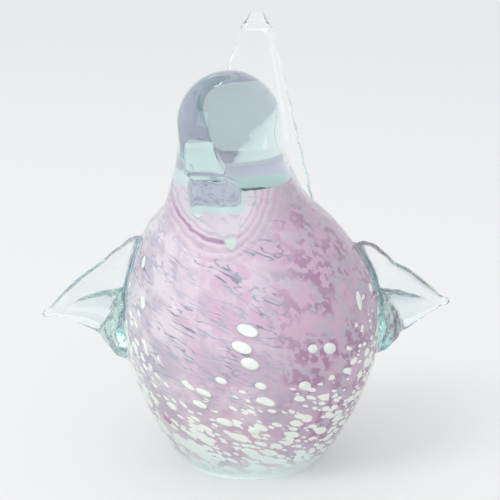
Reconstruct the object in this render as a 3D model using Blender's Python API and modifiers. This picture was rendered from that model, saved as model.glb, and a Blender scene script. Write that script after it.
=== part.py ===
"""Hand-made glass bird paperweight, as the gathers, chips and drawn bits that it is made of.

Metres, +Z up. The bird faces -Y, so its left side is +X. The origin is the centre of the
ground flat underside that it stands on.
"""

import math
from dataclasses import dataclass

import bmesh
import bpy
import numpy as np
from mathutils import Matrix, Vector

MM = 0.001

# Clearance
JOINT_GAP = 0.3 * MM

# Body outline, radius and height of each point that shapes it
BASE_RADIUS = 19.2 * MM
FOOT_RADIUS = 23.6 * MM
FOOT_HEIGHT = 5.0 * MM
HIP_RADIUS = 31.4 * MM
HIP_HEIGHT = 20.0 * MM
BELLY_RADIUS = 35.6 * MM
BELLY_HEIGHT = 36.0 * MM
BREAST_RADIUS = 34.5 * MM
BREAST_HEIGHT = 52.0 * MM
SHOULDER_RADIUS = 27.3 * MM
SHOULDER_HEIGHT = 67.0 * MM
THROAT_RADIUS = 20.2 * MM
THROAT_HEIGHT = 74.5 * MM
COLLAR_RADIUS = 16.3 * MM
COLLAR_HEIGHT = 82.5 * MM
CROWN_RISE = 2.5 * MM

# Layers, from the outside in
CASING_WALL = 3.0 * MM
COLOUR_WALL = 2.0 * MM

# Head and neck
HEAD_RADIUS = 14.1 * MM
HEAD_ABOVE_COLLAR = 15.2 * MM
NECK_RADIUS = 13.9 * MM
NECK_ABOVE_COLLAR = 10.0 * MM
FLARE_RADIUS = 14.9 * MM
FLARE_ABOVE_COLLAR = 4.2 * MM

# How far the hot glass is drawn over, and between which heights
SIDE_LEAN = 6.1 * MM
FORWARD_LEAN = 5.0 * MM
LEAN_FROM = 48.0 * MM
LEAN_TO = 92.0 * MM

# How far the nape is pulled back, and to the bird's left as a share of that
NAPE_PULL = 16.5 * MM
NAPE_SIDE = 0.52
NAPE_ABOVE_COLLAR = 3.5 * MM
NAPE_RISE = 36.0 * MM
NAPE_FALL = 23.0 * MM

# Beak, seen from the head's centre: forward, down and to the bird's right
BEAK_SHIFT = 2.6 * MM
BEAK_HALF_WIDTH = 7.0 * MM
BEAK_HALF_DEPTH = 4.6 * MM
BEAK_FORWARD = 9.1 * MM
BEAK_DROP = 27.1 * MM
BEAK_NUB_RADIUS = 1.9 * MM
BEAK_NUB_SHIFT = 3.1 * MM

# Wings
WING_HEIGHT = 46.9 * MM
WING_ROOT_HALF_HEIGHT = 16.5 * MM
WING_ROOT_HALF_THICKNESS = 9.0 * MM
WING_SWEEP = 3.0 * MM
WING_NUB_RADIUS = 1.35 * MM
RIGHT_WING_REACH = 23.6 * MM
RIGHT_WING_TIP_HEIGHT = 41.0 * MM
LEFT_WING_REACH = 20.2 * MM
LEFT_WING_TIP_HEIGHT = 45.0 * MM

# Tail
TAIL_ROOT_DEPTH = 14.0 * MM
TAIL_ROOT_HALF_WIDTH = 18.6 * MM
TAIL_TIP_HALF_WIDTH = 4.3 * MM
TAIL_ROOT_HALF_THICKNESS = 4.2 * MM
TAIL_BLADE_HALF_THICKNESS = 2.1 * MM
TAIL_LIP_HALF_THICKNESS = 2.5 * MM
TAIL_RISE = 53.0 * MM
TAIL_BACK = 19.3 * MM
TAIL_SIDE = 1.4 * MM
TAIL_CURVE = 0.2

# Chips of coloured glass on the colour layer
CHIP_THICKNESS = 0.9 * MM
CHIP_TILT = -20.0

# How finely the glass is faceted
TURNED_SIDES = 36
WALL_STEPS = 2
CROWN_STEPS = 3
BALL_STEPS = 8
BIT_SIDES = 18
SECTION_STEPS = 2
CHIP_SIDES = 10
CHIP_RINGS = 5
MERGE = 0.00001


@dataclass
class Finish:
    """What a kind of glass looks like."""

    name: str
    colour: tuple
    roughness: float
    transmission: float


@dataclass
class Section:
    """One slice of a drawn bit: its middle, its half sizes and how square it is."""

    middle: Vector
    half_width: float
    half_depth: float
    squareness: float = 2.0


@dataclass
class Wing:
    """A wing's own sizes, which differ a little from side to side on hand-made glass."""

    name: str
    side: int
    reach: float
    tip_height: float


@dataclass
class Chip:
    """A chip's place on the colour layer: degrees round from the front, height and sizes."""

    turn: float
    height: float
    length: float
    width: float
    tilt: float = CHIP_TILT


CLEAR = Finish("clear_glass", (0.86, 0.95, 0.93), 0.02, 0.95)
HEART = Finish("opal_glass", (0.80, 0.74, 0.84), 0.05, 0.3)
COLOUR = Finish("lavender_frit_glass", (0.78, 0.62, 0.78), 0.08, 0.1)
WHITE = Finish("white_frit_glass", (0.93, 0.95, 0.88), 0.08, 0.0)
MAGENTA = Finish("magenta_frit_glass", (0.56, 0.16, 0.36), 0.08, 0.0)

WINGS = [
    Wing("right_wing", -1, RIGHT_WING_REACH, RIGHT_WING_TIP_HEIGHT),
    Wing("left_wing", 1, LEFT_WING_REACH, LEFT_WING_TIP_HEIGHT),
]

WHITE_CHIPS = [
    Chip(-2.0, 47.6 * MM, 6.0 * MM, 3.1 * MM),
    Chip(-4.5, 43.3 * MM, 5.8 * MM, 3.1 * MM),
    Chip(-1.0, 39.0 * MM, 5.2 * MM, 3.2 * MM),
    Chip(37.0, 41.0 * MM, 4.4 * MM, 3.0 * MM),
    Chip(28.0, 41.8 * MM, 2.9 * MM, 2.3 * MM),
    Chip(25.0, 31.8 * MM, 3.8 * MM, 2.6 * MM),
    Chip(-23.0, 30.0 * MM, 4.8 * MM, 2.0 * MM),
    Chip(-26.0, 26.2 * MM, 4.4 * MM, 2.0 * MM),
    Chip(-67.0, 24.6 * MM, 4.6 * MM, 2.6 * MM, -50.0),
    Chip(-44.0, 23.6 * MM, 3.8 * MM, 2.2 * MM),
    Chip(-75.0, 35.2 * MM, 5.4 * MM, 2.8 * MM, -60.0),
    Chip(-14.0, 34.0 * MM, 3.4 * MM, 1.9 * MM),
    Chip(4.0, 32.8 * MM, 3.2 * MM, 2.0 * MM),
    Chip(-70.0, 59.5 * MM, 4.0 * MM, 2.0 * MM, -75.0),
    Chip(-61.0, 50.0 * MM, 4.2 * MM, 2.2 * MM, -60.0),
    Chip(1.0, 19.0 * MM, 3.4 * MM, 2.4 * MM),
    Chip(-14.0, 21.5 * MM, 5.0 * MM, 2.6 * MM),
    Chip(60.0, 50.5 * MM, 5.4 * MM, 2.4 * MM, 80.0),
]
MAGENTA_CHIP = Chip(-53.0, 18.2 * MM, 3.2 * MM, 1.8 * MM, -45.0)


def clear_scene():
    """Removes every object that the scene starts with."""
    for obj in list(bpy.data.objects):
        bpy.data.objects.remove(obj, do_unlink=True)


def new_collection(name, hidden=False):
    """A collection linked to the scene."""
    collection = bpy.data.collections.new(name)
    collection.hide_render = hidden
    bpy.context.scene.collection.children.link(collection)
    return collection


def material_of(finish):
    """A Principled material for a kind of glass, made once."""
    if finish.name in bpy.data.materials:
        return bpy.data.materials[finish.name]
    material = bpy.data.materials.new(finish.name)
    material.use_nodes = True
    shader = material.node_tree.nodes["Principled BSDF"]
    shader.inputs["Base Color"].default_value = (*finish.colour, 1.0)
    shader.inputs["Roughness"].default_value = finish.roughness
    shader.inputs["Metallic"].default_value = 0.0
    shader.inputs["Transmission Weight"].default_value = finish.transmission
    return material


def smooth_line(points, steps):
    """A Catmull-Rom line through the points, with that many steps between each two."""
    points = np.array(points, float)
    padded = np.vstack([2 * points[0] - points[1], points, 2 * points[-1] - points[-2]])
    line = []
    for before, start, end, after in zip(padded, padded[1:], padded[2:], padded[3:]):
        for t in np.linspace(0.0, 1.0, steps, endpoint=False):
            line.append(
                0.5
                * (
                    2 * start
                    + (end - before) * t
                    + (2 * before - 5 * start + 4 * end - after) * t**2
                    + (3 * start - before - 3 * end + after) * t**3
                )
            )
    line.append(points[-1])
    return np.array(line)


def wall_line():
    """The body's outside from the base up to the collar, as radius and height."""
    return smooth_line(
        [
            (BASE_RADIUS, 0.0),
            (FOOT_RADIUS, FOOT_HEIGHT),
            (HIP_RADIUS, HIP_HEIGHT),
            (BELLY_RADIUS, BELLY_HEIGHT),
            (BREAST_RADIUS, BREAST_HEIGHT),
            (SHOULDER_RADIUS, SHOULDER_HEIGHT),
            (THROAT_RADIUS, THROAT_HEIGHT),
            (COLLAR_RADIUS, COLLAR_HEIGHT),
        ],
        WALL_STEPS,
    )


def outward_normals(line):
    """The outward direction at each point of a line that runs upwards."""
    along = np.gradient(line, axis=0)
    along /= np.linalg.norm(along, axis=1)[:, None]
    return np.stack([along[:, 1], -along[:, 0]], axis=1)


def crown_height(radius, inset):
    """The height of the domed top at a radius, for a layer that far inside the outside."""
    dome = (COLLAR_RADIUS**2 + CROWN_RISE**2) / (2 * CROWN_RISE)
    middle = COLLAR_HEIGHT + CROWN_RISE - dome
    return middle + math.sqrt((dome - inset) ** 2 - radius**2)


def layer_outline(inset):
    """The outline of a layer that far inside the body's outside, from the base's edge to the top."""
    wall = wall_line()
    wall = wall - inset * outward_normals(wall)
    outline = [(wall[0][0], 0.0)] if inset else []
    for radius, height in wall:
        top = crown_height(radius, inset)
        if height >= top:
            last_radius, last_height = outline[-1]
            share = (top - last_height) / (height - last_height)
            radius = last_radius + share * (radius - last_radius)
            break
        outline.append((radius, height))
    for angle in np.linspace(0.0, math.pi / 2, CROWN_STEPS + 1):
        rim = radius * math.cos(angle)
        outline.append((rim, crown_height(rim, inset)))
    outline[-1] = (0.0, outline[-1][1])
    return outline


def outer_radius(height, inset):
    """The radius of a layer at a height, and the slope of its outside there as a unit normal."""
    outline = np.array(layer_outline(inset))[: -CROWN_STEPS - 1]
    radius = float(np.interp(height, outline[:, 1], outline[:, 0]))
    normals = outward_normals(outline)
    normal = Vector(
        (np.interp(height, outline[:, 1], normals[:, 0]), np.interp(height, outline[:, 1], normals[:, 1]))
    )
    return radius, normal.normalized()


def link_mesh(name, mesh, collection, finish=None):
    """An object for a mesh, shaded smooth, in a collection."""
    obj = bpy.data.objects.new(name, mesh)
    collection.objects.link(obj)
    if finish:
        mesh.materials.append(material_of(finish))
        mesh.shade_smooth()
        mesh.set_sharp_from_angle(angle=math.radians(40))
    else:
        obj.hide_render = True
        obj.display_type = "WIRE"
    return obj


def apply_modifiers(obj):
    """Gives an object the mesh that its modifiers make, and removes them."""
    graph = bpy.context.evaluated_depsgraph_get()
    made = bpy.data.meshes.new_from_object(obj.evaluated_get(graph))
    old = obj.data
    obj.modifiers.clear()
    obj.data = made
    bpy.data.meshes.remove(old)


def turned(name, profile, collection, finish=None):
    """A solid of revolution from a profile that runs from the top down its outside."""
    mesh = bpy.data.meshes.new(name)
    points = [(radius, 0.0, height) for radius, height in profile]
    mesh.from_pydata(points, [(i, i + 1) for i in range(len(points) - 1)], [])
    obj = link_mesh(name, mesh, collection, finish)
    screw = obj.modifiers.new("turn", "SCREW")
    screw.axis = "Z"
    screw.angle = 2 * math.pi
    screw.steps = TURNED_SIDES
    screw.render_steps = TURNED_SIDES
    screw.use_merge_vertices = True
    screw.merge_threshold = MERGE
    apply_modifiers(obj)
    return obj


def lean_at(height):
    """How far the glass is drawn over at a height."""
    share = (height - LEAN_FROM) / (LEAN_TO - LEAN_FROM)
    share = min(max(share, 0.0), 1.0)
    eased = share * share * (3.0 - 2.0 * share)
    return Vector((-SIDE_LEAN, -FORWARD_LEAN, 0.0)) * eased


def nape_pull(height):
    """How far the back of the glass is pulled back at a height."""
    above = height - COLLAR_HEIGHT - NAPE_ABOVE_COLLAR
    share = 1.0 + above / NAPE_RISE if above < 0.0 else 1.0 - above / NAPE_FALL
    share = min(max(share, 0.0), 1.0)
    return NAPE_PULL * share * share * (3.0 - 2.0 * share)


def draw_over(obj):
    """Leans an upright solid the way the hot glass was drawn over, and pulls its nape back."""
    head_line = head_profile()[: -CROWN_STEPS][::-1]
    radii, heights = np.vstack([wall_line()[:-1], head_line]).T
    for vertex in obj.data.vertices:
        height = vertex.co.z
        reach = max(float(np.interp(height, heights, radii)), MERGE)
        share = min(max(vertex.co.y, 0.0) / reach, 1.0)
        pull = nape_pull(height) * share
        vertex.co += lean_at(height) + Vector((NAPE_SIDE * pull * share, pull, 0.0))


def cut(obj, cutters):
    """Cuts other solids out of one."""
    for cutter in cutters:
        boolean = obj.modifiers.new("cut_" + cutter.name, "BOOLEAN")
        boolean.operation = "DIFFERENCE"
        boolean.solver = "EXACT"
        boolean.object = cutter
    apply_modifiers(obj)


def solid_profile(inset):
    """A whole layer's profile, from the top down its outside to the middle of the base."""
    return layer_outline(inset)[::-1] + [(0.0, 0.0)]


def shell_profile(outer_inset, inner_inset):
    """A layer's profile down its outside and up its inside, open at the base."""
    return layer_outline(outer_inset)[::-1] + layer_outline(inner_inset)


def head_profile():
    """The head's profile: the ball, the neck, the flared foot and the hollow that seats on the crown."""
    centre = COLLAR_HEIGHT + HEAD_ABOVE_COLLAR
    ball = [
        (HEAD_RADIUS * math.sin(angle), centre + HEAD_RADIUS * math.cos(angle))
        for angle in np.linspace(0.0, math.radians(95), BALL_STEPS + 1)
    ]
    ball[0] = (0.0, ball[0][1])
    foot = (COLLAR_RADIUS, COLLAR_HEIGHT + JOINT_GAP)
    neck = smooth_line(
        [
            ball[-1],
            (NECK_RADIUS, COLLAR_HEIGHT + NECK_ABOVE_COLLAR),
            (FLARE_RADIUS, COLLAR_HEIGHT + FLARE_ABOVE_COLLAR),
            foot,
        ],
        WALL_STEPS,
    )
    seat = []
    for angle in np.linspace(0.0, math.pi / 2, CROWN_STEPS + 1)[1:]:
        rim = COLLAR_RADIUS * math.cos(angle)
        seat.append((rim, crown_height(rim, 0.0) + JOINT_GAP))
    seat[-1] = (0.0, seat[-1][1])
    return ball[:-1] + [tuple(point) for point in neck] + seat


def head_clearance_profile():
    """The head grown by the joint gap, to cut the beak's seat."""
    profile = np.array(head_profile()[: -CROWN_STEPS])
    normals = -outward_normals(profile)
    grown = profile + JOINT_GAP * normals
    grown[0] = (0.0, profile[0][1] + JOINT_GAP)
    return [tuple(point) for point in grown] + [(grown[-1][0], COLLAR_HEIGHT), (0.0, COLLAR_HEIGHT)]


def ring_points(section, tangent, sides):
    """The corners of one slice, square to the bit's run and level across X or Y."""
    across = Vector((1.0, 0.0, 0.0)) if abs(tangent.x) < 0.7 else Vector((0.0, 1.0, 0.0))
    across = (across - tangent * across.dot(tangent)).normalized()
    depth = tangent.cross(across)
    power = 2.0 / section.squareness
    for k in range(sides):
        angle = 2 * math.pi * k / sides
        cosine, sine = math.cos(angle), math.sin(angle)
        x = math.copysign(abs(cosine) ** power, cosine) * section.half_width
        y = math.copysign(abs(sine) ** power, sine) * section.half_depth
        yield section.middle + across * x + depth * y


def drawn_bit(name, sections, collection, finish):
    """A bit of glass drawn out along its sections, as a loft with closed ends."""
    rows = [(*s.middle, s.half_width, s.half_depth, s.squareness) for s in sections]
    slices = [Section(Vector(row[:3]), *row[3:]) for row in smooth_line(rows, SECTION_STEPS)]
    mesh = bpy.data.meshes.new(name)
    bm = bmesh.new()
    loops = []
    for i, piece in enumerate(slices):
        ahead = slices[min(i + 1, len(slices) - 1)].middle
        behind = slices[max(i - 1, 0)].middle
        tangent = (ahead - behind).normalized()
        end = i in (0, len(slices) - 1)
        ring = bmesh.ops.create_circle(bm, cap_ends=end, radius=1.0, segments=BIT_SIDES)["verts"]
        for vertex, place in zip(ring, ring_points(piece, tangent, BIT_SIDES)):
            vertex.co = place
        members = set(ring)
        loops.append([edge for edge in bm.edges if edge.verts[0] in members and edge.verts[1] in members])
    for lower, upper in zip(loops, loops[1:]):
        bmesh.ops.bridge_loops(bm, edges=lower + upper)
    bmesh.ops.recalc_face_normals(bm, faces=bm.faces)
    bm.to_mesh(mesh)
    bm.free()
    return link_mesh(name, mesh, collection, finish)


def beak_sections():
    """The beak's slices, from its top on the face down the breast to its nub."""
    head_height = COLLAR_HEIGHT + HEAD_ABOVE_COLLAR
    head = Vector((0.0, 0.0, head_height)) + lean_at(head_height)
    front = head + Vector((-BEAK_SHIFT, -HEAD_RADIUS, 0.0))

    def at(forward, down, half_width, half_depth, squareness, side):
        middle = front + Vector((side * BEAK_NUB_SHIFT, -forward * BEAK_FORWARD, -down * BEAK_DROP))
        return Section(middle, half_width, half_depth, squareness)

    return [
        at(-0.09, 0.10, 0.41 * BEAK_HALF_WIDTH, 0.65 * BEAK_HALF_DEPTH, 3.0, -1.65),
        at(0.01, 0.17, 0.60 * BEAK_HALF_WIDTH, 1.07 * BEAK_HALF_DEPTH, 3.2, -1.55),
        at(0.23, 0.31, 0.74 * BEAK_HALF_WIDTH, 1.28 * BEAK_HALF_DEPTH, 3.2, -1.26),
        at(0.26, 0.42, 0.71 * BEAK_HALF_WIDTH, 1.07 * BEAK_HALF_DEPTH, 3.2, -0.94),
        at(0.42, 0.50, 0.93 * BEAK_HALF_WIDTH, 1.22 * BEAK_HALF_DEPTH, 3.2, -0.45),
        at(0.52, 0.61, 0.98 * BEAK_HALF_WIDTH, 1.20 * BEAK_HALF_DEPTH, 3.2, -0.26),
        at(0.57, 0.72, 0.98 * BEAK_HALF_WIDTH, 1.08 * BEAK_HALF_DEPTH, 3.2, -0.16),
        at(0.66, 0.81, 0.76 * BEAK_HALF_WIDTH, 0.89 * BEAK_HALF_DEPTH, 3.0, 0.23),
        at(0.79, 0.92, 1.50 * BEAK_NUB_RADIUS, 1.70 * BEAK_NUB_RADIUS, 2.4, 0.77),
        at(0.93, 1.01, BEAK_NUB_RADIUS, 1.37 * BEAK_NUB_RADIUS, 2.0, 1.0),
        at(1.02, 1.07, 0.50 * BEAK_NUB_RADIUS, 0.65 * BEAK_NUB_RADIUS, 2.0, 1.0),
    ]


def wing_sections(wing):
    """A wing's slices, from inside the body out to the nub where it was let go."""

    def at(x, half_height, half_thickness):
        out = max(x - BELLY_RADIUS, 0.0) / wing.reach
        height = WING_HEIGHT + (wing.tip_height - WING_HEIGHT) * out**2
        middle = Vector((wing.side * x, WING_SWEEP * out, height))
        return Section(middle, half_thickness, half_height)

    def beyond(out, height_share, thickness_share):
        x = BELLY_RADIUS + out * wing.reach
        return at(x, height_share * WING_ROOT_HALF_HEIGHT, thickness_share * WING_ROOT_HALF_THICKNESS)

    tip = BELLY_RADIUS + wing.reach
    return [
        at(0.35 * BELLY_RADIUS, 0.80 * WING_ROOT_HALF_HEIGHT, WING_ROOT_HALF_THICKNESS),
        at(0.86 * BELLY_RADIUS, 1.09 * WING_ROOT_HALF_HEIGHT, 1.20 * WING_ROOT_HALF_THICKNESS),
        beyond(0.05, 0.90, 0.92),
        beyond(0.20, 0.69, 0.70),
        beyond(0.35, 0.55, 0.56),
        beyond(0.55, 0.38, 0.42),
        beyond(0.76, 0.20, 0.26),
        at(tip - 1.8 * WING_NUB_RADIUS, 0.95 * WING_NUB_RADIUS, 0.90 * WING_NUB_RADIUS),
        at(tip - WING_NUB_RADIUS, WING_NUB_RADIUS, WING_NUB_RADIUS),
        at(tip, 0.60 * WING_NUB_RADIUS, 0.60 * WING_NUB_RADIUS),
    ]


def tail_sections():
    """The tail's slices, from inside the back up and back to its rolled lip."""
    root_radius, _ = outer_radius(SHOULDER_HEIGHT, 0.0)
    root_back = root_radius + nape_pull(SHOULDER_HEIGHT) + lean_at(SHOULDER_HEIGHT).y
    root = Vector((0.0, root_back, SHOULDER_HEIGHT))
    taper = TAIL_TIP_HALF_WIDTH - TAIL_ROOT_HALF_WIDTH

    def at(up, half_thickness, narrowing=1.0):
        back = TAIL_BACK * up * (1.0 - TAIL_CURVE * (1.0 - up))
        middle = root + Vector((TAIL_SIDE * max(up, 0.0), back, TAIL_RISE * up))
        return Section(middle, (TAIL_ROOT_HALF_WIDTH + taper * up) * narrowing, half_thickness, 2.2)

    inside = -TAIL_ROOT_DEPTH / TAIL_RISE
    return [
        at(inside, 1.1 * TAIL_ROOT_HALF_THICKNESS, 0.85),
        at(0.0, TAIL_ROOT_HALF_THICKNESS),
        at(0.33, 0.5 * (TAIL_ROOT_HALF_THICKNESS + TAIL_BLADE_HALF_THICKNESS)),
        at(0.66, TAIL_BLADE_HALF_THICKNESS),
        at(0.94, TAIL_BLADE_HALF_THICKNESS),
        at(0.98, TAIL_LIP_HALF_THICKNESS),
        at(1.01, 0.7 * TAIL_LIP_HALF_THICKNESS, 0.8),
    ]


def chip_solid(name, chip, grown, collection, finish=None):
    """A flattened round chip lying on the colour layer, or its pocket when grown."""
    radius, normal = outer_radius(chip.height, CASING_WALL + JOINT_GAP)
    turn = math.radians(chip.turn)
    outward = Vector((normal.x * math.sin(turn), -normal.x * math.cos(turn), normal.y))
    level = Vector((math.cos(turn), math.sin(turn), 0.0))
    upward = outward.cross(level)
    place = Vector((radius * math.sin(turn), -radius * math.cos(turn), chip.height))
    place += outward * (JOINT_GAP + CHIP_THICKNESS / 2)
    bm = bmesh.new()
    bmesh.ops.create_uvsphere(bm, u_segments=CHIP_SIDES, v_segments=CHIP_RINGS, radius=1.0)
    sizes = Matrix.Diagonal((chip.length / 2 + grown, chip.width / 2 + grown, CHIP_THICKNESS / 2 + grown, 1.0))
    facing = Matrix((level, upward, outward)).transposed().to_4x4()
    tilt = Matrix.Rotation(math.radians(chip.tilt), 4, "Z")
    bmesh.ops.transform(bm, matrix=Matrix.Translation(place) @ facing @ tilt @ sizes, verts=bm.verts)
    bmesh.ops.recalc_face_normals(bm, faces=bm.faces)
    mesh = bpy.data.meshes.new(name)
    bm.to_mesh(mesh)
    bm.free()
    return link_mesh(name, mesh, collection, finish)


def make_chips(parts, cutters):
    """The chips, and the pockets that they leave in the casing."""
    named = [(f"white_chip_{i:02d}", chip, WHITE) for i, chip in enumerate(WHITE_CHIPS, 1)]
    named.append(("magenta_chip", MAGENTA_CHIP, MAGENTA))
    chips = [chip_solid(name, chip, 0.0, parts, finish) for name, chip, finish in named]
    pockets = [chip_solid("pocket_" + name, chip, JOINT_GAP, cutters) for name, chip, _ in named]
    return chips, pockets


def make_body(parts, cutters):
    """The heart, the colour layer and the casing, upright, and the chips between them."""
    colour_inset = CASING_WALL + JOINT_GAP
    heart_inset = colour_inset + COLOUR_WALL + JOINT_GAP
    heart = turned("heart_gather", solid_profile(heart_inset), parts, HEART)
    colour = turned("colour_layer", shell_profile(colour_inset, heart_inset - JOINT_GAP), parts, COLOUR)
    casing = turned("clear_casing", shell_profile(0.0, CASING_WALL), parts, CLEAR)
    chips, pockets = make_chips(parts, cutters)
    cut(casing, pockets)
    return [heart, colour, casing, *chips]


def make_bits(parts, cutters):
    """The head, and the bits that are laid on the body and the head."""
    head = turned("head", head_profile(), parts, CLEAR)
    body_space = turned("body_space", solid_profile(-JOINT_GAP), cutters)
    head_space = turned("head_space", head_clearance_profile(), cutters)
    for upright in (head, body_space, head_space):
        draw_over(upright)
    beak = drawn_bit("beak", beak_sections(), parts, CLEAR)
    cut(beak, [head_space, body_space])
    for wing in WINGS:
        cut(drawn_bit(wing.name, wing_sections(wing), parts, CLEAR), [body_space])
    cut(drawn_bit("tail", tail_sections(), parts, CLEAR), [body_space, head_space])


def main():
    clear_scene()
    parts = new_collection("glass_bird")
    cutters = new_collection("cutters", hidden=True)
    for upright in make_body(parts, cutters):
        draw_over(upright)
    make_bits(parts, cutters)


main()
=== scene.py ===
"""Hand-made glass bird paperweight, dressed in its glass on a pale studio floor.

Metres, +Z up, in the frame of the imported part. The bird faces -Y, so its left side is +X, and it
stands on the ground flat underside whose centre is the origin.
"""

import logging
import math
from dataclasses import dataclass, field, replace
from enum import Enum
from typing import Callable, Iterable, Sequence

import bpy
import numpy as np
from mathutils import Euler, Matrix, Vector


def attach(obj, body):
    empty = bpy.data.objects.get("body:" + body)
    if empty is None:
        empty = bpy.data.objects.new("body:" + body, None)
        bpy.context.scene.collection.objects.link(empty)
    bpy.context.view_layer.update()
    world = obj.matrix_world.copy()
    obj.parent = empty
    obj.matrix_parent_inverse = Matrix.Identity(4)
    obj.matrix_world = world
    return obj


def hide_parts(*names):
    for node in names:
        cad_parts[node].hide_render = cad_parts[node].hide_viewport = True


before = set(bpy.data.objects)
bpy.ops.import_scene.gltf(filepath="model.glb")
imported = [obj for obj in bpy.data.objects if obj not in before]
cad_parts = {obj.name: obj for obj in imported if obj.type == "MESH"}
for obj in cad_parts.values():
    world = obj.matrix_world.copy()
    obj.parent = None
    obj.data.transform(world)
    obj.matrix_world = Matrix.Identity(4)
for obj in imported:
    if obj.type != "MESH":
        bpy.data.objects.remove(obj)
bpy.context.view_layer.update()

LOG = logging.getLogger("glass_bird")

MM = 0.001
BODY = "root"
WINGS = ("right_wing", "left_wing")

Colour = tuple[float, float, float]
Row = tuple[float, ...]
Span = tuple[float, float]
Socket = bpy.types.NodeSocket
Solid = bpy.types.Object

# Camera, found from the photograph's outline
CAMERA_PLACE = Vector((0.0, -433.6, 175.3)) * MM
CAMERA_AIM = Vector((0.0, 0.0, 55.0)) * MM
CAMERA_LENS = 115.9
CAMERA_SENSOR = 36.0
CAMERA_SHIFT = (-0.004, 0.04)

ACROSS = Vector((1.0, 0.0, 0.0))
FORWARD = Vector((0.0, 1.0, 0.0))

# Glass that has flowed together has no face between its pieces, only this much room
FUSED_GAP = 0.02 * MM
JOINT_ATTRIBUTE = "joint"


class Side(Enum):
    """The bird's right and left, as the sign of X."""

    RIGHT = -1
    LEFT = 1


# Hand tools


def deselect() -> None:
    """Leaves object mode with nothing selected."""
    if bpy.context.object and bpy.context.object.mode != "OBJECT":
        bpy.ops.object.mode_set(mode="OBJECT")
    bpy.ops.object.select_all(action="DESELECT")


def take(*objects: Solid) -> Solid:
    """Selects objects and makes the first the active one.

    Args:
        objects: What to select.

    Returns:
        The active object.
    """
    deselect()
    for obj in objects:
        obj.select_set(True)
    bpy.context.view_layer.objects.active = objects[0]
    return objects[0]


def edit(obj: Solid, work: Callable[[], None]) -> None:
    """Runs mesh operators on all of an object in edit mode.

    Args:
        obj: The object to work on.
        work: What calls the operators.
    """
    take(obj)
    bpy.ops.object.mode_set(mode="EDIT")
    bpy.ops.mesh.select_all(action="SELECT")
    work()
    bpy.ops.object.mode_set(mode="OBJECT")


def apply_modifier(obj: Solid, kind: str, **values: object) -> None:
    """Adds a modifier with its values and applies it.

    Args:
        obj: The object that gets it.
        kind: Blender's name for the kind of modifier.
        values: The modifier's own settings.
    """
    take(obj)
    modifier = obj.modifiers.new(kind.lower(), kind)
    for name, value in values.items():
        setattr(modifier, name, value)
    bpy.ops.object.modifier_apply(modifier=modifier.name)


def combine(obj: Solid, operation: str, other: Solid, **values: object) -> None:
    """Joins another solid to an object, cuts it away, or keeps what both hold."""
    apply_modifier(obj, "BOOLEAN", operation=operation, solver="EXACT", object=other, **values)


def copy_of(obj: Solid, name: str) -> Solid:
    """A copy of an object with its own mesh.

    Args:
        obj: The object to copy.
        name: The copy's name.

    Returns:
        The copy.
    """
    take(obj)
    bpy.ops.object.duplicate()
    copy = bpy.context.object
    copy.name = name
    return copy


def discard(*objects: Solid) -> None:
    """Removes working shapes that are no piece of the bird."""
    for obj in objects:
        bpy.data.objects.remove(obj, do_unlink=True)


def flow_line(points: Sequence[Sequence[float]], steps: int) -> np.ndarray:
    """A smooth line through points, as hot glass flows between them.

    Args:
        points: The points, each with as many numbers as it needs.
        steps: How many steps lie between each two points.

    Returns:
        The line's points, one to a row.
    """
    points = np.array(points, float)
    padded = np.vstack([2 * points[0] - points[1], points, 2 * points[-1] - points[-2]])
    line = []
    for before, start, end, after in zip(padded, padded[1:], padded[2:], padded[3:]):
        for t in np.linspace(0.0, 1.0, steps, endpoint=False):
            bend = 2 * before - 5 * start + 4 * end - after
            turn = 3 * start - before - 3 * end + after
            line.append(0.5 * (2 * start + (end - before) * t + bend * t**2 + turn * t**3))
    line.append(points[-1])
    return np.array(line)


def ease(share: float) -> float:
    """A share from 0 to 1 that starts and ends gently."""
    share = min(max(share, 0.0), 1.0)
    return share * share * (3.0 - 2.0 * share)


# How the bird is drawn over


@dataclass(frozen=True)
class Draw:
    """How the hot glass is leaned over, and how its nape is pulled back."""

    side_lean: float = 6.1 * MM
    forward_lean: float = 5.0 * MM
    lean_from: float = 48.0 * MM
    lean_to: float = 92.0 * MM
    nape_pull: float = 16.5 * MM
    nape_side: float = 0.52
    nape_from: float = 50.0 * MM
    nape_at: float = 86.0 * MM
    nape_to: float = 109.0 * MM

    def lean(self, height: float) -> Vector:
        """How far the glass is leaned over at a height."""
        share = ease((height - self.lean_from) / (self.lean_to - self.lean_from))
        return Vector((-self.side_lean, -self.forward_lean, 0.0)) * share

    def pull(self, height: float) -> float:
        """How far the nape is pulled back at a height."""
        end = self.nape_from if height < self.nape_at else self.nape_to
        return self.nape_pull * ease((height - end) / (self.nape_at - end))


DRAW = Draw()


@dataclass(frozen=True)
class Level:
    """A level ring of the body or the head, before the glass is drawn over."""

    height: float
    radius: float
    reach: float
    tilt: float = 0.0

    def middle(self) -> Vector:
        """The ring's middle."""
        return Vector((0.0, 0.0, self.height)) + DRAW.lean(self.height)

    def corner(self, angle: float) -> Vector:
        """The ring's point at an angle, with the nape pulled back.

        Args:
            angle: The angle round the ring.

        Returns:
            The point.
        """
        cosine, sine = math.cos(angle), math.sin(angle)
        share = max(sine, 0.0) * self.radius / max(self.reach, self.radius)
        pull = DRAW.pull(self.height) * share
        aside = DRAW.nape_side * pull * share
        rise = self.tilt * self.radius * max(sine, 0.0)
        return self.middle() + Vector((self.radius * cosine + aside, self.radius * sine + pull, rise))


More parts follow.
